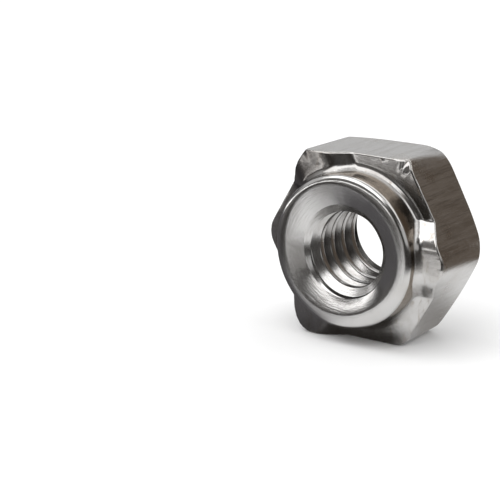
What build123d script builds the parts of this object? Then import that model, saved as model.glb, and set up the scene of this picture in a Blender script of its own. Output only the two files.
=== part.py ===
from build123d import *
import os
from math import radians, sqrt, tan

# Hex weld nut: a cold-formed hexagonal body with a pilot collar on its weld face,
# three weld projections at alternate corners and one threaded bore.
#
# It is drawn with the thread axis along Z and the weld face at Z = 0, looking up.
# At the end it is stood on a flat: the thread axis lies along Y, the weld face looks
# along -Y, and the origin is on the thread axis in the plane of the weld face.

# Hexagonal body
across_flats = 12.7
body_height = 5.0
corner_radius = 1.2           # the six upright edges, rounded by the drawn bar
plain_face_inset = 0.75       # how far the plain face's circle lies inside the flats
plain_chamfer_angle = 30      # between the chamfer and the plain face, degrees

# Weld projections, ridges that run from the collar out to a corner
projection_count = 3
projection_height = 1.05
projection_width = 5.2        # from foot to foot
projection_ramp = 38          # slope of the ramps, degrees
projection_crest_radius = 1.6

# Pilot collar
collar_dia = 10.45
collar_height = 2.1
collar_root_radius = 0.6
collar_rim_radius = 0.35
collar_root_margin = 0.05     # what its root leaves of the weld face, and of the side over a ridge

# Bore: dished mouth, lead-in, threaded length and countersink in the plain face
thread_major = 6.35           # a 1/4 inch thread, 20 turns to the inch
thread_depth = 0.575          # from crest to root; the bore is drawn at the crests
lead_in_oversize = 0.05       # how much wider than the thread the lead-in opens
countersink_oversize = 0.51   # how much wider than the thread the countersink opens
lead_in_angle = 45            # of lead-in and countersink from the thread axis, degrees
dish_mouth_dia = 9.0
dish_depth = 0.45

# Values that follow from the sizes above
sharp_corner_radius = across_flats / sqrt(3)
collar_radius = collar_dia / 2
face_beside_collar = across_flats / 2 - collar_radius
side_over_ridge = collar_height - projection_height - collar_rim_radius
root_room = min(face_beside_collar, side_over_ridge) - collar_root_margin
root_radius = min(collar_root_radius, root_room)
bore_radius = thread_major / 2 - thread_depth
lead_in_radius = (thread_major + lead_in_oversize) / 2
lead_in_length = (lead_in_radius - bore_radius) / tan(radians(lead_in_angle))
countersink_radius = (thread_major + countersink_oversize) / 2
countersink_depth = (countersink_radius - bore_radius) / tan(radians(lead_in_angle))
cutter_margin = across_flats / 4
place_tolerance = 1e-4        # for finding edges by their place


def hex_bar():
    """Drawn hexagonal bar with flats on +Y and -Y, as tall as body and projections."""
    outline = RegularPolygon(across_flats / 2, 6, major_radius=False)
    outline = fillet(outline.vertices(), corner_radius)
    bar = extrude(outline, body_height + projection_height)
    return Pos(0, 0, -body_height) * bar


def chamfer_form():
    """Turned form that chamfers the corners down to a circle on the plain face."""
    circle_radius = across_flats / 2 - plain_face_inset
    slope = tan(radians(plain_chamfer_angle))
    chamfer_height = (sharp_corner_radius - circle_radius) * slope
    profile = Polyline(
        (0, -body_height),
        (circle_radius, -body_height),
        (sharp_corner_radius, chamfer_height - body_height),
        (sharp_corner_radius, projection_height),
        (0, projection_height),
        close=True,
    )
    return revolve(Plane.XZ * make_face(profile), Axis.Z)


def projection_ridge():
    """One ridge along +X, from inside the collar: straight ramps and a rounded crest."""
    foot = projection_width / 2
    shoulder = foot - projection_height / tan(radians(projection_ramp))
    profile = Polyline(
        (-foot, 0),
        (foot, 0),
        (shoulder, projection_height),
        (-shoulder, projection_height),
        close=True,
    )
    section = make_face(profile)
    crest = section.vertices().group_by(Axis.Y)[-1]
    section = fillet(crest, projection_crest_radius)
    return extrude(Plane.YZ.offset(foot) * section, sharp_corner_radius)


def weld_side_waste():
    """What the die clears above the weld face, leaving the ridges standing."""
    cleared = extrude(Circle(sharp_corner_radius + cutter_margin), projection_height)
    return cleared - PolarLocations(0, projection_count) * projection_ridge()


def collar_root_edges(nut):
    """Edges where the collar's side meets the weld face and the ridges."""
    edges = []
    for edge in nut.edges():
        middle = edge.position_at(0.5)
        on_side = abs(Vector(middle.X, middle.Y).length - collar_radius) < place_tolerance
        if on_side and middle.Z < projection_height + place_tolerance:
            edges.append(edge)
    return edges


def add_collar(body):
    """Pilot collar with a filleted root and a rounded rim."""
    nut = body + extrude(Circle(collar_radius), collar_height)
    nut = fillet(collar_root_edges(nut), root_radius)
    rim = nut.edges().filter_by(GeomType.CIRCLE).group_by(Axis.Z)[-1]
    return fillet(rim, collar_rim_radius)


def bore_cutter():
    """Turned cutter for dish, lead-in, bore at the thread crests and countersink."""
    rim = collar_height
    plain = -body_height
    profile = Polyline(
        (0, plain - cutter_margin),
        (countersink_radius, plain - cutter_margin),
        (countersink_radius, plain),
        (bore_radius, plain + countersink_depth),
        (bore_radius, rim - dish_depth - lead_in_length),
        (lead_in_radius, rim - dish_depth),
        (dish_mouth_dia / 2, rim),
        (dish_mouth_dia / 2, rim + cutter_margin),
        (0, rim + cutter_margin),
        close=True,
    )
    return revolve(Plane.XZ * make_face(profile), Axis.Z)


def weld_nut():
    """The whole nut, standing on a flat with its weld face towards -Y."""
    body = (hex_bar() & chamfer_form()) - weld_side_waste()
    nut = add_collar(body) - bore_cutter()
    return Rot(90, 0, 0) * nut


os.makedirs("parts", exist_ok=True)
export_step(weld_nut(), "parts/weld_nut.step")
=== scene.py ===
from math import atan2, cos, hypot, pi, radians, sin, sqrt, tan

import bmesh
import bpy
from mathutils import Matrix, Vector, noise


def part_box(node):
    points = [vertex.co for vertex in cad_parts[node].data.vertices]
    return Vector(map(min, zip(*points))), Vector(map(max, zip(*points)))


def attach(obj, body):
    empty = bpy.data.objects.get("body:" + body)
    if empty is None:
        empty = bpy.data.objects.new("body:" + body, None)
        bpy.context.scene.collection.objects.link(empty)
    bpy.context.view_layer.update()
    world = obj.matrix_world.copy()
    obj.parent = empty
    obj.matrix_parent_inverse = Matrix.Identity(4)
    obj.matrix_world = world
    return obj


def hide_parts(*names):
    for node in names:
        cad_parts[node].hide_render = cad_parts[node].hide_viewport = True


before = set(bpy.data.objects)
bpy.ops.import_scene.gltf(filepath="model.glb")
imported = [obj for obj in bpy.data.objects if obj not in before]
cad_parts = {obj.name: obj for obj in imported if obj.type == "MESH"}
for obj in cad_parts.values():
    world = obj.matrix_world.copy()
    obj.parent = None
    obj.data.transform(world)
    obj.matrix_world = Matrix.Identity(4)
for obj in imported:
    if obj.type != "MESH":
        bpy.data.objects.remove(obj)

bl_info = {
    "name": "Hex weld nut",
    "version": (1, 0, 0),
    "blender": (4, 5, 0),
    "location": "View3D > Sidebar > Weld nut",
    "description": "Builds the stainless steel finish and the threaded form of a hex weld nut",
    "category": "Add Mesh",
}

# The frame gives the sizes that the solid settles: X runs across two corners, Y along the
# thread with the weld face at 0 and the collar towards -Y, and Z up across the flats.
NODE = "weld_nut"
BODY = "root"
LOW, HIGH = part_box(NODE)
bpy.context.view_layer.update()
MM = 0.001
MERGE_DISTANCE = 0.002 * MM
SHARP_ANGLE = radians(24)       # edges that turn further stay sharp

# The mesh is spun about local Z with the weld face at 0 looking up. Its columns come in six
# equal sectors, each from the middle of a ridge to the middle of the plain corner beside it.
CREST_STEPS = 8
ROUND_STEPS = 7
RAMP_STEPS = 3
FOOT_STEPS = 4
CORNER_STEPS = 8
FLAT_STEPS = 12
CORNER_REACH = 0.6 * MM         # how far from a plain corner its columns lie close together
SECTOR_STEPS = CREST_STEPS + ROUND_STEPS + RAMP_STEPS + FOOT_STEPS + CORNER_STEPS + FLAT_STEPS
COLUMNS = 6 * SECTOR_STEPS

# Rows of the profile, from the foot of the dish outwards and round to the plain face
DISH_FOOT, DISH_EDGE, DISH_MOUTH, RIM, ROOT, FACE_IN, FACE_OUT, FACE_RIM, WELD_EDGE = range(9)
CHAMFER, CIRCLE, LEAD_IN = range(9, 12)

# How far each row of the weld side lies from the collar to the hexagon. FACE_RIM lies in
# from the edge by the width of the worn strip.
FACE_REACHES = {ROOT: 0, FACE_IN: 0.45, FACE_OUT: 0.72, WELD_EDGE: 1}

# The dents in the weld face's edge come from noise: how fine it is, and what of it is cut off
BURR_FINENESS = 3
BURR_CUT = 0.1


def length(name, description, default):
    return bpy.props.FloatProperty(
        name=name, description=description, default=default, min=0, unit="LENGTH", precision=5
    )


def angle(name, description, default):
    return bpy.props.FloatProperty(
        name=name, description=description, default=radians(default), subtype="ANGLE"
    )


def colour(name, description, default):
    return bpy.props.FloatVectorProperty(
        name=name, description=description, default=default, min=0, max=1, size=3, subtype="COLOR"
    )


def share(name, description, default, top=1):
    return bpy.props.FloatProperty(
        name=name, description=description, default=default, min=0, max=top
    )


class NutSizes(bpy.types.PropertyGroup):
    across_flats: length("Across flats", "Width of the hexagon", HIGH.z - LOW.z)
    body_height: length("Body height", "From the weld face to the plain face", HIGH.y)
    collar_height: length("Collar height", "How far the collar stands above the weld face", -LOW.y)
    collar_radius: length("Collar radius", "Radius of the pilot collar", 5.225 * MM)
    rim_round: length("Rim round", "Radius of the collar's outer edge", 0.35 * MM)
    root_round: length("Root round", "Fillet where the collar meets the weld face", 0.6 * MM)
    dish_radius: length("Dish radius", "Radius of the dished mouth", 4.5 * MM)
    dish_depth: length("Dish depth", "Depth of the dished mouth", 0.45 * MM)
    dish_edge: length("Dish edge", "Width of the dish's blended edge", 0.2 * MM)
    dish_fall: angle("Dish edge fall", "Slope of the dish's blended edge", 10)
    dish_lobe: length("Dish lobes", "How far the ridges pulled the dish's mouth out", 0.09 * MM)
    dish_shift: length("Dish shift", "How far the dish's mouth lies to the left", 0.13 * MM)
    dish_rise: length("Dish rise", "How far the dish's mouth lies above the axis", 0.17 * MM)
    ridge_height: length("Ridge height", "Height of the weld projections", 1.05 * MM)
    ridge_width: length("Ridge width", "Width of a projection from foot to foot", 5.2 * MM)
    ridge_ramp: angle("Ridge ramp", "Slope of the ramps", 38)
    ridge_round: length("Ridge round", "Radius between ramp and crest", 1.6 * MM)
    foot_round: length("Foot round", "Radius between ramp and weld face", 0.35 * MM)
    circle_radius: length("Chamfer circle", "Radius of the plain face", 5.6 * MM)
    circle_round: length("Chamfer circle round", "Width of the circle's rounding", 0.15 * MM)
    chamfer_angle: angle("Chamfer angle", "Slope of the plain face's chamfer", 30)
    chamfer_round: length("Chamfer round", "Width of its rounding on the flats", 0.06 * MM)
    edge_round: length("Edge round", "Radius of the weld face's outer edge", 0.13 * MM)
    wear_reach: length("Wear reach", "How far a corner's wear runs along the flats", 0.8 * MM)
    wear_width: length("Wear width", "Width of the strip that dents and burrs take up", 0.13 * MM)
    burrs: length("Burrs", "Depth of the small dents in the weld face's edge", 0.08 * MM)
    thread_radius: length("Thread radius", "Major radius of the thread", 3.175 * MM)
    thread_depth: length("Thread depth", "From crest to root", 0.575 * MM)
    thread_round: length("Thread round", "Length of the rounded edges of crest and root", 0.06 * MM)
    pitch: length("Pitch", "Rise of one turn", 1.27 * MM)
    lead_in_radius: length("Lead-in radius", "Mouth of the lead-in at the dish", 3.2 * MM)
    countersink_radius: length("Countersink radius", "Mouth at the plain face", 3.43 * MM)
    thread_start: length("Thread start", "Lowest crest above the plain face", 0.865 * MM)


# ---------------------------------------------------------------- outline and ridges

# How the die left the six corners, anticlockwise from the right-hand one: their rounding in
# millimetres at the weld face and at the plain face, the height of the plain face's chamfer as
# a share of the drawn one, and how far the weld face's edge is knocked down, in millimetres.
CORNER_FORMS = (
    (1.4, 2.3, 1.1, 0.1),
    (0.5, 2.8, 0.13, 0.4),
    (0.3, 1.0, 1.3, 0.2),
    (1.7, 1.2, 1.0, 0.0),
    (1.2, 1.2, 1.0, 0.1),
    (1.2, 1.7, 1.0, 0.1),
)


def ridge_profile(sizes):
    """Half-widths at which the crest ends, the ramp starts and the ramp's straight part ends."""
    slope = tan(sizes.ridge_ramp)
    shoulder = sizes.ridge_width / 2 - sizes.ridge_height / slope
    crest = shoulder - sizes.ridge_round * tan(sizes.ridge_ramp / 2)
    ramp = crest + sizes.ridge_round * sin(sizes.ridge_ramp)
    foot = sizes.ridge_width / 2
    blend = sizes.foot_round * tan(sizes.ridge_ramp / 2)
    return crest, ramp, foot - blend * cos(sizes.ridge_ramp), foot + blend


def ridge_height(sizes, offset):
    """Height of a ridge at a sideways offset from its middle."""
    crest, ramp, foot, face = ridge_profile(sizes)
    if offset <= crest:
        return sizes.ridge_height
    if offset < ramp:
        drop = sizes.ridge_round - sqrt(sizes.ridge_round ** 2 - (offset - crest) ** 2)
        return sizes.ridge_height - drop
    if offset < foot:
        return (sizes.ridge_width / 2 - offset) * tan(sizes.ridge_ramp)
    if offset < face:
        return sizes.foot_round - sqrt(sizes.foot_round ** 2 - (face - offset) ** 2)
    return 0.0


def spread(start, end, steps):
    """Evenly spaced values from start up to but not including end."""
    return [start + (end - start) * i / steps for i in range(steps)]


def sector_columns(sizes):
    """Sideways offsets of one sector's columns: from the ridge's middle, then from the corner's."""
    crest, ramp, foot, face = ridge_profile(sizes)
    turns = [sizes.ridge_ramp * i / ROUND_STEPS for i in range(ROUND_STEPS)]
    ridge = spread(0, crest, CREST_STEPS)
    ridge += [crest + sizes.ridge_round * sin(turn) for turn in turns]
    ridge += spread(ramp, foot, RAMP_STEPS) + spread(foot, face, FOOT_STEPS) + [face]
    flat_length = sizes.across_flats / sqrt(3)
    reach = flat_length * sin(pi / 3) - face
    corner = spread(0, CORNER_REACH, CORNER_STEPS) + spread(CORNER_REACH, reach, FLAT_STEPS)
    return ridge, corner


class Column:
    """One meridian of the nut: a sideways offset from the middle of one of its corners."""

    def __init__(self, corner, inner, outer, height):
        self.corner = corner
        self.inner = inner
        self.outer = outer
        self.height = height
        turn = corner * pi / 3
        self.along = Vector((cos(turn), sin(turn), 0))
        self.aside = Vector((-sin(turn), cos(turn), 0))

    def on_circle(self, radius, squeeze=1):
        """The column's point on a circle. squeeze draws it in for circles inside the collar."""
        offset = self.inner * squeeze
        return self.along * sqrt(radius ** 2 - offset ** 2) + self.aside * offset

    def on_outline(self, sizes, end):
        """The column's point on the hexagon: end is 0 at the weld face and 1 at the plain face."""
        sharp = sizes.across_flats / sqrt(3)
        radius = CORNER_FORMS[self.corner][end] * MM
        offset = abs(self.outer)
        if offset < radius / 2:
            along = sharp - radius / cos(pi / 6) + sqrt(radius ** 2 - offset ** 2)
        else:
            along = sharp - offset * tan(pi / 6)
        return self.along * along + self.aside * self.outer

    def chamfer_share(self, sizes):
        """Height of the plain face's chamfer here as a share of the drawn one."""
        from_corner = min(1, abs(self.outer) / (sizes.across_flats / 4))
        return CORNER_FORMS[self.corner][2] * (1 - from_corner) + from_corner

    def on_face(self, sizes, row):
        """The column's point on the weld side, in one of the rows from the root to the edge."""
        inner = self.on_circle(sizes.collar_radius)
        outer = self.on_outline(sizes, 0)
        rim_reach = 1 - sizes.wear_width / (outer - inner).length
        point = inner.lerp(outer, FACE_REACHES.get(row, rim_reach))
        near = max(0, 1 - abs(self.outer) / sizes.wear_reach)
        worn = CORNER_FORMS[self.corner][3] * MM * near
        if row == WELD_EDGE:
            place = outer / MM
            dent = max(0, noise.noise(place * BURR_FINENESS) - BURR_CUT)
            worn += (dent + max(0, noise.noise(place))) * sizes.burrs
        elif row == FACE_RIM:
            worn = max(0, worn - sizes.wear_width)
        else:
            worn = 0
        point.z = self.height - worn
        return point


def nut_columns(sizes):
    """All columns, anticlockwise from the middle of the right-hand ridge."""
    ridge, corner = sector_columns(sizes)
    face = ridge[-1]
    corner_reach = sizes.across_flats / sqrt(3) * sin(pi / 3) - face
    collar_turn = pi / 3 - atan2(face, sqrt(sizes.collar_radius ** 2 - face ** 2))
    draw_in = sizes.collar_radius * sin(collar_turn) / corner_reach
    half = [(0, offset, offset, ridge_height(sizes, offset)) for offset in ridge]
    half += [(1, -offset * draw_in, -offset, 0) for offset in reversed(corner)]
    columns = []
    for period in range(3):
        for corner_step, inner, outer, height in half:
            columns.append(Column((2 * period + corner_step) % 6, inner, outer, height))
        for corner_step, inner, outer, height in reversed(half[1:-1]):
            mirrored = (2 * period + 2 - corner_step) % 6
            columns.append(Column(mirrored, -inner, -outer, height))
    return columns


# ---------------------------------------------------------------- the nut's mesh

def shell_profile(sizes):
    """Radius and height of each row before it is formed."""
    rim = sizes.collar_height
    face_reach = sizes.across_flats / 2 - sizes.collar_radius
    return (
        (sizes.lead_in_radius, rim - sizes.dish_depth),
        (sizes.dish_radius - sizes.dish_edge, rim - sizes.dish_edge * tan(sizes.dish_fall)),
        (sizes.dish_radius, rim),
        (sizes.collar_radius, rim),
        (sizes.collar_radius, 0),
        (sizes.collar_radius + face_reach / 3, 0),
        (sizes.collar_radius + face_reach / 2, 0),
        (sizes.collar_radius + face_reach * 2 / 3, 0),
        (sizes.across_flats / 2, 0),
        (sizes.across_flats / 2, -sizes.body_height / 2),
        (sizes.circle_radius, -sizes.body_height),
        (sizes.countersink_radius, -sizes.body_height),
    )


def spin_shell(bm, row_layer, sizes):
    """Spin the open profile from the foot of the dish round to the plain lead-in."""
    profile = []
    for row, (radius, height) in enumerate(shell_profile(sizes)):
        vert = bm.verts.new((radius, 0, height))
        vert[row_layer] = row
        profile.append(vert)
    edges = [bm.edges.new(pair) for pair in zip(profile, profile[1:])]
    bmesh.ops.spin(
        bm, geom=profile + edges, cent=(0, 0, 0), axis=(0, 0, 1), angle=2 * pi,
        steps=COLUMNS, use_merge=True,
    )


def form_shell(bm, row_layer, sizes):
    """Move each row of the spun shell to the collar, the ridges, the hexagon and the chamfer."""
    columns = nut_columns(sizes)
    rim = sizes.collar_height
    for vert in bm.verts:
        turn = atan2(vert.co.y, vert.co.x) % (2 * pi)
        column = columns[round(turn / (2 * pi) * COLUMNS) % COLUMNS]
        row = vert[row_layer]
        if row == RIM:
            vert.co = column.on_circle(sizes.collar_radius) + Vector((0, 0, rim))
        elif row in (DISH_EDGE, DISH_MOUTH):
            height = vert.co.z
            inwards = sizes.dish_edge if row == DISH_EDGE else 0
            squeeze = sizes.dish_radius / sizes.collar_radius
            mouth = column.on_circle(sizes.dish_radius, squeeze)
            lobe = sizes.dish_lobe * cos(3 * atan2(mouth.y, mouth.x))
            mouth += mouth.normalized() * (lobe - inwards)
            vert.co = mouth + Vector((-sizes.dish_shift, sizes.dish_rise, height))
        elif ROOT <= row <= WELD_EDGE:
            vert.co = column.on_face(sizes, row)
        elif row == CHAMFER:
            vert.co = column.on_outline(sizes, 1)
            rise = max(0, vert.co.length - sizes.circle_radius) * tan(sizes.chamfer_angle)
            vert.co.z = rise * column.chamfer_share(sizes) - sizes.body_height
        elif row == CIRCLE:
            outline = column.on_outline(sizes, 1)
            vert.co = outline.normalized() * sizes.circle_radius
            vert.co.z = -sizes.body_height


def loop_edges(bm, row_layer, row):
    """The edges of one row's ring."""
    return [e for e in bm.edges if e.verts[0][row_layer] == row and e.verts[1][row_layer] == row]


def round_row(bm, row_layer, row, radius, segments):
    """Round one ring of edges."""
    bmesh.ops.bevel(
        bm, geom=loop_edges(bm, row_layer, row), offset=radius, offset_type="OFFSET",
        segments=segments, profile=0.5, affect="EDGES", material=-1, clamp_overlap=True,
    )


def thread_form(bm, sizes, start):
    """One pitch of the thread, from the middle of a crest to the next, as a rounded line."""
    crest = sizes.thread_radius - sizes.thread_depth
    flank = sizes.thread_depth * tan(pi / 6)
    root_flat = sizes.pitch / 8
    crest_half = (sizes.pitch - root_flat - 2 * flank) / 2
    places = (
        (crest, 0),
        (crest, crest_half),
        (sizes.thread_radius, crest_half + flank),
        (sizes.thread_radius, sizes.pitch - crest_half - flank),
        (crest, sizes.pitch - crest_half),
        (crest, sizes.pitch),
    )
    verts = [bm.verts.new((radius, 0, start + rise)) for radius, rise in places]
    for pair in zip(verts, verts[1:]):
        bm.edges.new(pair)
    bmesh.ops.bevel(
        bm, geom=verts[1:-1], offset=sizes.thread_round, offset_type="OFFSET", segments=3,
        profile=0.5, affect="VERTICES", material=-1,
    )


def spin_thread(bm, sizes):
    """Screw the thread form up one turn, stack the turns and trim them to the bore."""
    bottom = -sizes.body_height
    top = sizes.collar_height - sizes.dish_depth
    start = bottom - 2 * sizes.pitch + sizes.thread_start
    thread_form(bm, sizes, start)
    bmesh.ops.spin(
        bm, geom=list(bm.verts) + list(bm.edges), cent=(0, 0, 0), axis=(0, 0, 1),
        dvec=(0, 0, sizes.pitch / COLUMNS), angle=2 * pi, steps=COLUMNS,
    )
    turn = list(bm.verts) + list(bm.edges) + list(bm.faces)
    turns = int((top - bottom) / sizes.pitch) + 3
    for count in range(1, turns):
        copied = bmesh.ops.duplicate(bm, geom=turn)["geom"]
        moved = [part for part in copied if isinstance(part, bmesh.types.BMVert)]
        bmesh.ops.translate(bm, verts=moved, vec=(0, 0, count * sizes.pitch))
    bmesh.ops.remove_doubles(bm, verts=bm.verts, dist=MERGE_DISTANCE)
    trim_thread(bm, sizes, bottom, top)
    bmesh.ops.remove_doubles(bm, verts=bm.verts, dist=MERGE_DISTANCE)


def trim_thread(bm, sizes, bottom, top):
    """Clamp the screwed surface between both faces and widen it to the lead-in cones."""
    for vert in bm.verts:
        height = min(max(vert.co.z, bottom), top)
        radius = hypot(vert.co.x, vert.co.y)
        countersink = sizes.countersink_radius - (height - bottom)
        lead_in = sizes.lead_in_radius - (top - height)
        widen = max(radius, countersink, lead_in) / radius
        if vert.co.z < bottom:
            widen = sizes.countersink_radius / radius
        if vert.co.z > top:
            widen = sizes.lead_in_radius / radius
        vert.co = Vector((vert.co.x * widen, vert.co.y * widen, height))


def add_thread(bm, sizes):
    """Join the thread to the shell."""
    thread = bmesh.new()
    spin_thread(thread, sizes)
    scratch = bpy.data.meshes.new("thread")
    thread.to_mesh(scratch)
    thread.free()
    bm.from_mesh(scratch)
    bpy.data.meshes.remove(scratch)
    bmesh.ops.remove_doubles(bm, verts=bm.verts, dist=MERGE_DISTANCE)


def finish_faces(bm, sizes):
    """Give each face its finish, and keep steep edges and the thread's border sharp."""
    for face in bm.faces:
        face.smooth = True
        face.material_index = face_finish(sizes, face)
    for edge in bm.edges:
        tapped = {face.material_index == TAPPED for face in edge.link_faces}
        edge.smooth = edge.calc_face_angle(0) < SHARP_ANGLE and len(tapped) == 1


def build_nut(sizes):
    """The whole nut as one closed mesh in the frame's axes, kept inside the solid's box."""
    bm = bmesh.new()
    row_layer = bm.verts.layers.int.new("row")
    spin_shell(bm, row_layer, sizes)
    form_shell(bm, row_layer, sizes)
    round_row(bm, row_layer, RIM, sizes.rim_round, 6)
    round_row(bm, row_layer, ROOT, sizes.root_round, 6)
    round_row(bm, row_layer, WELD_EDGE, sizes.edge_round, 4)
    round_row(bm, row_layer, CHAMFER, sizes.chamfer_round, 3)
    round_row(bm, row_layer, CIRCLE, sizes.circle_round, 3)
    add_thread(bm, sizes)
    bmesh.ops.rotate(bm, verts=bm.verts, cent=(0, 0, 0), matrix=Matrix.Rotation(pi / 2, 3, "X"))
    bmesh.ops.recalc_face_normals(bm, faces=bm.faces)
    finish_faces(bm, sizes)
    for vert in bm.verts:
        vert.co = Vector(min(max(v, low), high) for v, low, high in zip(vert.co, LOW, HIGH))
    mesh = bpy.data.meshes.new("hex_nut")
    bm.to_mesh(mesh)
    open_edges = sum(1 for edge in bm.edges if not edge.is_manifold)
    bm.free()
    if open_edges:
        raise RuntimeError(f"the nut's mesh has {open_edges} open edges")
    return mesh


# ---------------------------------------------------------------- shader helpers

class Number:
    """A number on a socket. Python's operators add the Math nodes."""

    def __init__(self, shader, socket):
        self.shader = shader
        self.socket = socket

    def math(self, operation, *values):
        """A Math node on this number and then the values."""
        return self.shader.math(operation, (self, *values))

    def __add__(self, value):
        return self.math("ADD", value)

    def __sub__(self, value):
        return self.math("SUBTRACT", value)

    def __mul__(self, value):
        return self.math("MULTIPLY", value)

    def __rsub__(self, value):
        return self.shader.math("SUBTRACT", (value, self))

    __radd__ = __add__
    __rmul__ = __mul__

    def band(self, low, high):
        """0 below low, 1 above high and smooth between."""
        settings = {"interpolation_type": "SMOOTHSTEP"}
        sockets = {"Value": self, "From Min": low, "From Max": high}
        node = self.shader.add("ShaderNodeMapRange", settings, sockets)
        return Number(self.shader, node.outputs[0])


class Shader:
    """Adds nodes to a node tree."""

    def __init__(self, owner):
        owner.use_nodes = True
        self.tree = owner.node_tree
        self.tree.nodes.clear()

    def add(self, kind, settings, sockets):
        """One node: its settings first, then the values or links of its sockets."""
        node = self.tree.nodes.new(kind)
        for name, value in settings.items():
            setattr(node, name, value)
        for name, value in sockets.items():
            if isinstance(value, Number):
                self.tree.links.new(value.socket, node.inputs[name])
            elif isinstance(value, bpy.types.NodeSocket):
                self.tree.links.new(value, node.inputs[name])
            else:
                node.inputs[name].default_value = value
        return node

    def math(self, operation, values):
        """A Math node on the values, in their order."""
        sockets = dict(enumerate(values))
        node = self.add("ShaderNodeMath", {"operation": operation}, sockets)
        return Number(self, node.outputs[0])

    def noise(self, vector, scale, detail, roughness):
        """Noise from 0 to 1. scale is how many of its cells a metre holds."""
        sockets = {"Vector": vector, "Scale": scale, "Detail": detail, "Roughness": roughness}
        return Number(self, self.add("ShaderNodeTexNoise", {}, sockets).outputs["Fac"])

    def stretched(self, vector, scale):
        """The vector times a scale for each axis."""
        node = self.add("ShaderNodeVectorMath", {"operation": "MULTIPLY"}, {0: vector, 1: scale})
        return node.outputs[0]

    def mixed(self, factor, first, second):
        """A colour between two colours."""
        sockets = {"Factor": factor, 6: first, 7: second}
        node = self.add("ShaderNodeMix", {"data_type": "RGBA"}, sockets)
        return node.outputs[2]

    def object_place(self):
        """Object coordinates."""
        return self.add("ShaderNodeTexCoord", {}, {}).outputs["Object"]

    def axes(self, vector):
        """The three numbers of a vector."""
        parts = self.add("ShaderNodeSeparateXYZ", {}, {"Vector": vector})
        return [Number(self, socket) for socket in parts.outputs]


def rgba(value):
    """An opaque colour."""
    return (*value, 1)


# ---------------------------------------------------------------- steel finishes

class SteelFinish(bpy.types.PropertyGroup):
    bright: colour("Bright steel", "Clean stainless steel", (0.57, 0.563, 0.555))
    dull: colour("Dull steel", "Steel under a thin film of scale and oil", (0.40, 0.38, 0.355))
    stain: colour("Stain", "Brown stain in the drawn flats", (0.30, 0.25, 0.20))
    # Straw is a tint that is also painted reflection: it darkens the collar's side to the dark weld
    # face it mirrors.
    straw_and_painted_reflection: colour("Straw", "Heat tint on the collar's side", (0.30, 0.26, 0.22))
    # Soot is also the colour of painted shade: on the weld face, in the bore and on the upper right
    # flat.
    soot_and_painted_shade: colour("Soot", "Old oil in the thread", (0.10, 0.09, 0.085))
    flat_roughness: share("Flat roughness", "Roughness of the drawn flats", 0.26)
    face_roughness: share("Face roughness", "Roughness of the formed weld face", 0.2)
    collar_roughness: share("Collar roughness", "Roughness of the turned collar and dish", 0.15)
    thread_roughness: share("Thread roughness", "Roughness of the thread", 0.2)


def steel(name, shader_parts):
    """A steel material. shader_parts gets the shader and returns colour, roughness and normal."""
    material = bpy.data.materials.new(name)
    shader = Shader(material)
    base, roughness, normal = shader_parts(shader)
    surface = shader.add(
        "ShaderNodeBsdfPrincipled", {},
        {"Metallic": 1.0, "Base Color": base, "Roughness": roughness, "Normal": normal},
    )
    shader.add("ShaderNodeOutputMaterial", {}, {"Surface": surface.outputs[0]})
    return material


def bumped(shader, height, distance):
    """A normal that follows a height from 0 to 1, distance high."""
    return shader.add("ShaderNodeBump", {}, {"Height": height, "Distance": distance}).outputs[0]


def drawn_flats(finish):
    """Flats of the drawn bar, with streaks along the thread axis and stains.

    The upper right flat gets the most film, stain and dark streaks; the extra there is painted
    shade.
    """

    def parts(shader):
        place = shader.object_place()
        x, _, z = shader.axes(place)
        fine = shader.noise(shader.stretched(place, (1, 0.03, 1)), 12000, 3, 0.65)
        coarse = shader.noise(shader.stretched(place, (1, 0.1, 1)), 2400, 4, 0.65)
        blotch = shader.noise(place, 420, 5, 0.6)
        # right picks the upper right flat. What it adds to the film, stain and dark streaks is
        # painted shade; the rest is the steel's own.
        outwards = x * cos(pi / 6) + z * sin(pi / 6)
        right = outwards.band(HIGH.z - 0.25 * MM, HIGH.z - 0.05 * MM)
        film = coarse.band(0.4, 0.7) * (0.35 + 0.5 * right)
        base = shader.mixed(film, rgba(finish.bright), rgba(finish.dull))
        stain = blotch.band(0.45, 0.75) * (0.2 + 0.55 * right)
        base = shader.mixed(stain, base, rgba(finish.stain))
        streaks = fine.band(0.5, 0.75) * (0.1 + 0.4 * right)
        base = shader.mixed(streaks, base, rgba(finish.soot_and_painted_shade))
        roughness = finish.flat_roughness - 0.06 + 0.12 * blotch
        normal = bumped(shader, fine * 0.8 + coarse, 0.014 * MM)
        return base, roughness, normal

    return steel("drawn_steel", parts)


def formed_face(finish):
    """Weld face, ridges and plain face as the die left them, with scuffs.

    Painted shade darkens them at the top, more so at the left, and down by the floor.
    """

    def parts(shader):
        place = shader.object_place()
        cloud = shader.noise(place, 500, 4, 0.6)
        grain = shader.noise(place, 5200, 3, 0.6)
        scuffs = shader.noise(shader.stretched(place, (1, 1, 0.25)), 3200, 3, 0.6)
        base = shader.mixed(cloud.band(0.35, 0.7) * 0.6, rgba(finish.bright), rgba(finish.dull))
        base = shader.mixed(scuffs.band(0.52, 0.72) * 0.5, base, rgba(finish.stain))
        x, _, z = shader.axes(place)
        # Painted shade down by the floor, where the nut stands in its own shade.
        bottom = (z * -1).band(4.3 * MM, 6.4 * MM)
        base = shader.mixed(bottom * 0.4, base, rgba(finish.soot_and_painted_shade))
        # Painted shade towards the top, more so at the left, varied a little by the cloud noise;
        # film here is this painted shade.
        top = z.band(1 * MM, 4 * MM)
        left = (x * -1).band(1.8 * MM, 3.6 * MM)
        film = top * (0.35 + 0.35 * left + 0.4 * (cloud - 0.5))
        base = shader.mixed(film, base, rgba(finish.soot_and_painted_shade))
        roughness = finish.face_roughness - 0.06 + 0.12 * cloud
        normal = bumped(shader, cloud * 2 + grain * 0.3 + scuffs * 0.3, 0.009 * MM)
        return base, roughness, normal

    return steel("formed_steel", parts)


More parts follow.
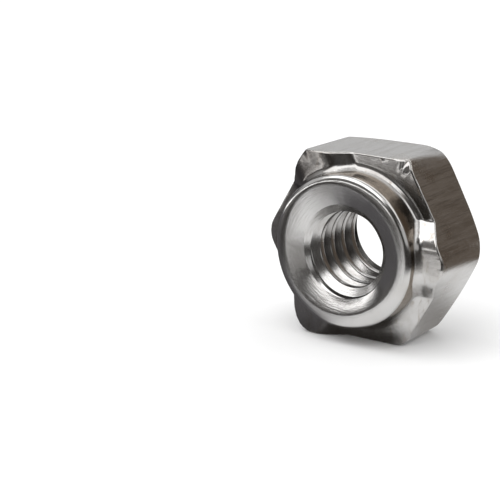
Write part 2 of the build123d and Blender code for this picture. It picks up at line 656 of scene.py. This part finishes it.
def ring_place(shader):
    """Coordinates that follow the turning: distance from the thread axis, place along it, angle.

    The angle counts for little, so noise on them draws out into rings.
    """
    x, y, z = shader.axes(shader.object_place())
    radius = (x * x + z * z).math("SQRT")
    turn = z.math("ARCTAN2", x)
    sockets = {"X": radius, "Y": y, "Z": turn * (0.6 * MM)}
    return shader.add("ShaderNodeCombineXYZ", {}, sockets).outputs[0]


def turned_collar(finish):
    """Collar, rim and dish with faint turning rings, and on the collar's side a straw tint darkened
    as painted reflection.
    """

    def parts(shader):
        place = shader.object_place()
        ring = ring_place(shader)
        rings = shader.noise(ring, 9000, 3, 0.6)
        cloud = shader.noise(place, 450, 4, 0.5)
        base = shader.mixed(cloud.band(0.4, 0.75) * 0.4, rgba(finish.bright), rgba(finish.dull))
        radius, along, _ = shader.axes(ring)
        below_rim = along.band(-1.85 * MM, -1.7 * MM)
        above_root = 1 - along.band(-0.6 * MM, -0.3 * MM)
        # Straw band on the collar's side: partly painted reflection, darkening the side to the tone
        # of the weld face it mirrors.
        side = radius.band(5.1 * MM, 5.2 * MM) * below_rim * above_root
        base = shader.mixed(side, base, rgba(finish.straw_and_painted_reflection))
        roughness = finish.collar_roughness - 0.03 + 0.08 * cloud
        normal = bumped(shader, rings + cloud, 0.006 * MM)
        return base, roughness, normal

    return steel("turned_steel", parts)


def tapped_thread(finish):
    """Thread and lead-ins, with painted shade in the grooves, least of it at the bottom of the
    bore.
    """

    def parts(shader):
        ring = ring_place(shader)
        radius, along, _ = shader.axes(ring)
        rings = shader.noise(ring, 7000, 3, 0.6)
        cloud = shader.noise(shader.object_place(), 700, 3, 0.6)
        base = shader.mixed(rings.band(0.4, 0.7) * 0.5, rgba(finish.bright), rgba(finish.dull))
        _, _, z = shader.axes(shader.object_place())
        # Painted shade in the bore: darker deeper in, in the groove roots and towards the top,
        # lighter at the bottom of the bore.
        above_bottom = 0.4 + 0.6 * z.band(-2.6 * MM, -0.8 * MM)
        inside = along.band(-1.0 * MM, 0.2 * MM) * above_bottom
        groove = 0.35 + 0.5 * radius.band(2.7 * MM, 3.1 * MM)
        base = shader.mixed(inside * groove * (0.5 + cloud), base, rgba(finish.soot_and_painted_shade))
        roughness = finish.thread_roughness - 0.03 + 0.08 * rings
        normal = bumped(shader, rings, 0.008 * MM)
        return base, roughness, normal

    return steel("tapped_steel", parts)


FINISHES = (drawn_flats, formed_face, turned_collar, tapped_thread)
DRAWN, FORMED, TURNED, TAPPED = range(4)
COLLAR_TOLERANCE = 0.02 * MM    # how far outside its radius a face is still the collar's


def face_finish(sizes, face):
    """Which finish a face of the nut has, from where it lies and where it looks."""
    centre = face.calc_center_median()
    radius = hypot(centre.x, centre.z)
    mouth_radius = sizes.countersink_radius if centre.y > 0 else sizes.lead_in_radius
    if radius < mouth_radius:
        return TAPPED
    if centre.y < 0 and radius < sizes.collar_radius + COLLAR_TOLERANCE:
        return TURNED
    looks_along_axis = abs(face.normal.y) > cos(pi / 3)
    return FORMED if looks_along_axis else DRAWN


# ---------------------------------------------------------------- the nut's operator

class NUT_OT_body(bpy.types.Operator):
    """Build the nut with its ridges, collar, dish and thread"""

    bl_idname = "weld_nut.body"
    bl_label = "Nut"

    def execute(self, context):
        finish = context.scene.steel_finish
        mesh = build_nut(context.scene.nut_sizes)
        for make in FINISHES:
            mesh.materials.append(make(finish))
        piece = bpy.data.objects.new("hex_nut", mesh)
        context.scene.collection.objects.link(piece)
        smooth = piece.modifiers.new("flat faces stay flat", "WEIGHTED_NORMAL")
        smooth.keep_sharp = True
        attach(piece, BODY)
        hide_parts(NODE)
        return {"FINISHED"}


# ---------------------------------------------------------------- stage

class StageSettings(bpy.types.PropertyGroup):
    floor: colour("Floor", "Colour of the floor", (0.93, 0.93, 0.93))
    flag: colour("Flag", "Colour of the dark cards", (0.05, 0.046, 0.043))
    shade: colour("Shade", "Colour of the shaded floor and the left flag", (0.12, 0.115, 0.12))
    haze: colour("Haze", "Colour of the half shaded floor", (0.35, 0.34, 0.33))
    far: colour("Far", "Colour of the floor and the room far in front", (0.2, 0.19, 0.185))
    brown: colour("Brown card", "Colour of the brown cards", (0.16, 0.13, 0.105))
    key: share("Key light", "Radiance of the large softbox", 1.8, 10)
    bounce: share("Bounce card", "Radiance of the small card in front", 2.6, 10)
    side: share("Side light", "Radiance of the softbox on the right", 0.9, 10)
    back: share("Back light", "Radiance of the softbox behind", 1.4, 10)
    room: share("Room light", "Level of the room", 0.66, 10)


CAMERA_LENS = 141.12
CAMERA_PLACE = (0.06709, -0.10597, 0.03582)
CAMERA_FORWARD = Vector((-0.5595, 0.7813, -0.2768))


def direction(azimuth, elevation):
    """Unit vector: azimuth 0 is -Y, 90 is +X."""
    turn = radians(azimuth)
    rise = radians(elevation)
    return Vector((sin(turn) * cos(rise), -cos(turn) * cos(rise), sin(rise)))


def softbox(scene, name, aim, distance, size, radiance):
    """A lamp seen from the nut at an azimuth and an elevation. size is width and height."""
    width, height = size
    data = bpy.data.lights.new(name, "AREA")
    data.shape = "RECTANGLE"
    data.size = width
    data.size_y = height
    data.energy = radiance * pi * width * height
    lamp = bpy.data.objects.new(name, data)
    outwards = direction(*aim)
    lamp.location = outwards * distance
    lamp.rotation_euler = outwards.to_track_quat("Z", "Y").to_euler()
    scene.collection.objects.link(lamp)


def fading_card(name, shade, azimuths, reach, along):
    """A glow in one colour that fades out at the card's edges.

    azimuths and reach each hold where the card starts, where it is full, where it starts to
    fade and where it ends. along says what reach measures: the distance from the vertical
    axis for a lying card, the height for a standing one.
    """
    material = bpy.data.materials.new(name)
    shader = Shader(material)
    x, y, z = shader.axes(shader.object_place())
    turn = x.math("ARCTAN2", y * -1)
    distance = (x * x + y * y).math("SQRT")
    measure = {"distance": distance, "height": z}[along]
    start, full, fade, end = (radians(azimuth) for azimuth in azimuths)
    seen = turn.band(start, full) * (1 - turn.band(fade, end))
    seen = seen * measure.band(*reach[:2]) * (1 - measure.band(*reach[2:]))
    glow = shader.add("ShaderNodeEmission", {}, {"Color": rgba(shade), "Strength": 1.0})
    clear = shader.add("ShaderNodeBsdfTransparent", {}, {})
    mix = shader.add("ShaderNodeMixShader", {}, {0: seen, 1: clear.outputs[0], 2: glow.outputs[0]})
    shader.add("ShaderNodeOutputMaterial", {}, {"Surface": mix.outputs[0]})
    return material


def card(scene, name, azimuths, ends, material):
    """A card, seen only in reflections: the line between two ends spun over the azimuths.

    Each end is a distance from the vertical axis and a height.
    """
    bm = bmesh.new()
    turn = Matrix.Rotation(radians(azimuths[0]), 3, "Z")
    verts = [bm.verts.new(turn @ Vector((0, -distance, height))) for distance, height in ends]
    edge = bm.edges.new(verts)
    bmesh.ops.spin(
        bm, geom=verts + [edge], cent=(0, 0, 0), axis=(0, 0, 1),
        angle=radians(azimuths[-1] - azimuths[0]), steps=24,
    )
    mesh = bpy.data.meshes.new(name)
    bm.to_mesh(mesh)
    bm.free()
    mesh.materials.append(material)
    piece = bpy.data.objects.new(name, mesh)
    scene.collection.objects.link(piece)
    piece.visible_camera = False
    piece.visible_diffuse = False
    piece.visible_shadow = False


def lying(scene, name, shade, azimuths, reach, lift):
    """A card just above the floor. reach and lift are in millimetres."""
    reach = [distance * MM for distance in reach]
    height = LOW.z + lift * MM
    material = fading_card(name, shade, azimuths, reach, "distance")
    card(scene, name, azimuths, [(reach[0], height), (reach[3], height)], material)


def standing(scene, name, shade, azimuths, elevations, distance):
    """A card that stands round the nut at a distance in metres and spans elevations."""
    heights = [distance * tan(radians(elevation)) for elevation in elevations]
    material = fading_card(name, shade, azimuths, heights, "height")
    card(scene, name, azimuths, [(distance, heights[0]), (distance, heights[3])], material)


def build_floor(scene, stage):
    """A matt floor, 4 m wide, under the nut."""
    bm = bmesh.new()
    bmesh.ops.create_grid(bm, x_segments=1, y_segments=1, size=2)
    bmesh.ops.translate(bm, verts=bm.verts, vec=(0, 0, LOW.z))
    mesh = bpy.data.meshes.new("floor")
    bm.to_mesh(mesh)
    bm.free()
    material = bpy.data.materials.new("floor")
    shader = Shader(material)
    matt = shader.add("ShaderNodeBsdfDiffuse", {}, {"Color": rgba(stage.floor)})
    shader.add("ShaderNodeOutputMaterial", {}, {"Surface": matt.outputs[0]})
    mesh.materials.append(material)
    piece = bpy.data.objects.new("floor", mesh)
    scene.collection.objects.link(piece)


def build_world(scene, stage):
    """The same pale light from all round the room."""
    world = bpy.data.worlds.new("studio")
    scene.world = world
    shader = Shader(world)
    back = shader.add("ShaderNodeBackground", {}, {"Color": (1, 1, 1, 1), "Strength": stage.room})
    shader.add("ShaderNodeOutputWorld", {}, {"Surface": back.outputs[0]})


def build_cards(scene, stage):
    """What the steel mirrors.

    The floor is shaded near the nut and again farther off, the room is dark low down and
    brown behind on the right, and a small bright card stands just in front on the left.
    """
    dark, shade, brown = stage.flag, stage.shade, stage.brown
    bounce = (stage.bounce, stage.bounce, stage.bounce)
    lying(scene, "shade at the foot", dark, (-150, -140, 125, 140), (0, 0.1, 2.3, 4), 0.05)
    lying(scene, "shade behind", stage.haze, (112, 124, 168, 178), (0, 0.1, 6.5, 11), 0.07)
    lying(scene, "left floor", shade, (-135, -130, -46, -16), (1.5, 3.5, 400, 500), 0.1)
    lying(scene, "front floor", dark, (-50, -38, -22, -10), (17, 25, 400, 500), 0.15)
    lying(scene, "middle floor", stage.haze, (-22, -10, 0, 12), (17, 25, 400, 500), 0.15)
    lying(scene, "right floor", dark, (0, 12, 112, 125), (15, 23, 400, 500), 0.2)
    lying(scene, "brown floor", brown, (110, 125, 160, 170), (12, 17, 400, 500), 0.25)
    lying(scene, "far floor", stage.far, (-60, -50, -18, -2), (31, 42, 400, 500), 0.3)
    standing(scene, "left flag", shade, (-135, -130, -78, -66), (-4, -3, 12, 22), 0.25)
    standing(scene, "low flag", dark, (-80, -66, 100, 112), (-4, -3, 3, 8), 0.24)
    standing(scene, "gap flag", dark, (-22, -14, 36, 46), (12, 17, 30, 42), 0.22)
    standing(scene, "low gap flag", dark, (-6, 2, 36, 46), (-3, -1, 14, 18), 0.2)
    standing(scene, "high flag", dark, (18, 30, 72, 86), (26, 30, 48, 60), 0.21)
    standing(scene, "haze", stage.far, (-52, -44, -20, -12), (3, 7, 30, 40), 0.26)
    standing(scene, "bounce card", bounce, (-84, -72, -6, 4), (3, 4.5, 8, 9.5), 0.022)
    standing(scene, "brown card", brown, (100, 115, 179, 180), (-4, -3, 36, 46), 0.2)
    standing(scene, "brown card behind", brown, (-180, -179, -172, -160), (20, 24, 36, 46), 0.2)


def build_camera(scene):
    """Look down a little on the weld side, from the right."""
    data = bpy.data.cameras.new("camera")
    data.lens = CAMERA_LENS
    data.clip_start = 0.01
    camera = bpy.data.objects.new("camera", data)
    camera.location = CAMERA_PLACE
    camera.rotation_euler = CAMERA_FORWARD.to_track_quat("-Z", "Y").to_euler()
    scene.collection.objects.link(camera)
    scene.camera = camera


class NUT_OT_stage(bpy.types.Operator):
    """Set up the floor, the lights, the cards and the camera"""

    bl_idname = "weld_nut.stage"
    bl_label = "Stage"

    def execute(self, context):
        scene = context.scene
        stage = scene.stage_settings
        scene.view_settings.view_transform = "Standard"
        build_floor(scene, stage)
        build_world(scene, stage)
        softbox(scene, "key softbox", (-30, 62), 0.35, (0.50, 0.31), stage.key)
        softbox(scene, "side softbox", (100, 45), 0.35, (0.25, 0.20), stage.side)
        softbox(scene, "back softbox", (180, 48), 0.35, (0.30, 0.14), stage.back)
        build_cards(scene, stage)
        build_camera(scene)
        return {"FINISHED"}


# ---------------------------------------------------------------- panel and start

class NUT_PT_panel(bpy.types.Panel):
    """The nut's sizes, its finish and the stage, with the operators that build them"""

    bl_idname = "NUT_PT_panel"
    bl_label = "Hex weld nut"
    bl_space_type = "VIEW_3D"
    bl_region_type = "UI"
    bl_category = "Weld nut"

    def draw(self, context):
        layout = self.layout
        scene = context.scene
        for group in (scene.nut_sizes, scene.steel_finish):
            for name in group.__annotations__:
                layout.prop(group, name)
        layout.operator(NUT_OT_body.bl_idname)
        for name in scene.stage_settings.__annotations__:
            layout.prop(scene.stage_settings, name)
        layout.operator(NUT_OT_stage.bl_idname)


CLASSES = (NutSizes, SteelFinish, StageSettings, NUT_OT_body, NUT_OT_stage, NUT_PT_panel)


def register():
    for kind in CLASSES:
        bpy.utils.register_class(kind)
    bpy.types.Scene.nut_sizes = bpy.props.PointerProperty(type=NutSizes)
    bpy.types.Scene.steel_finish = bpy.props.PointerProperty(type=SteelFinish)
    bpy.types.Scene.stage_settings = bpy.props.PointerProperty(type=StageSettings)


def unregister():
    del bpy.types.Scene.stage_settings
    del bpy.types.Scene.steel_finish
    del bpy.types.Scene.nut_sizes
    for kind in reversed(CLASSES):
        bpy.utils.unregister_class(kind)


def main():
    register()
    bpy.ops.weld_nut.body()
    bpy.ops.weld_nut.stage()


if __name__ == "__main__":
    main()
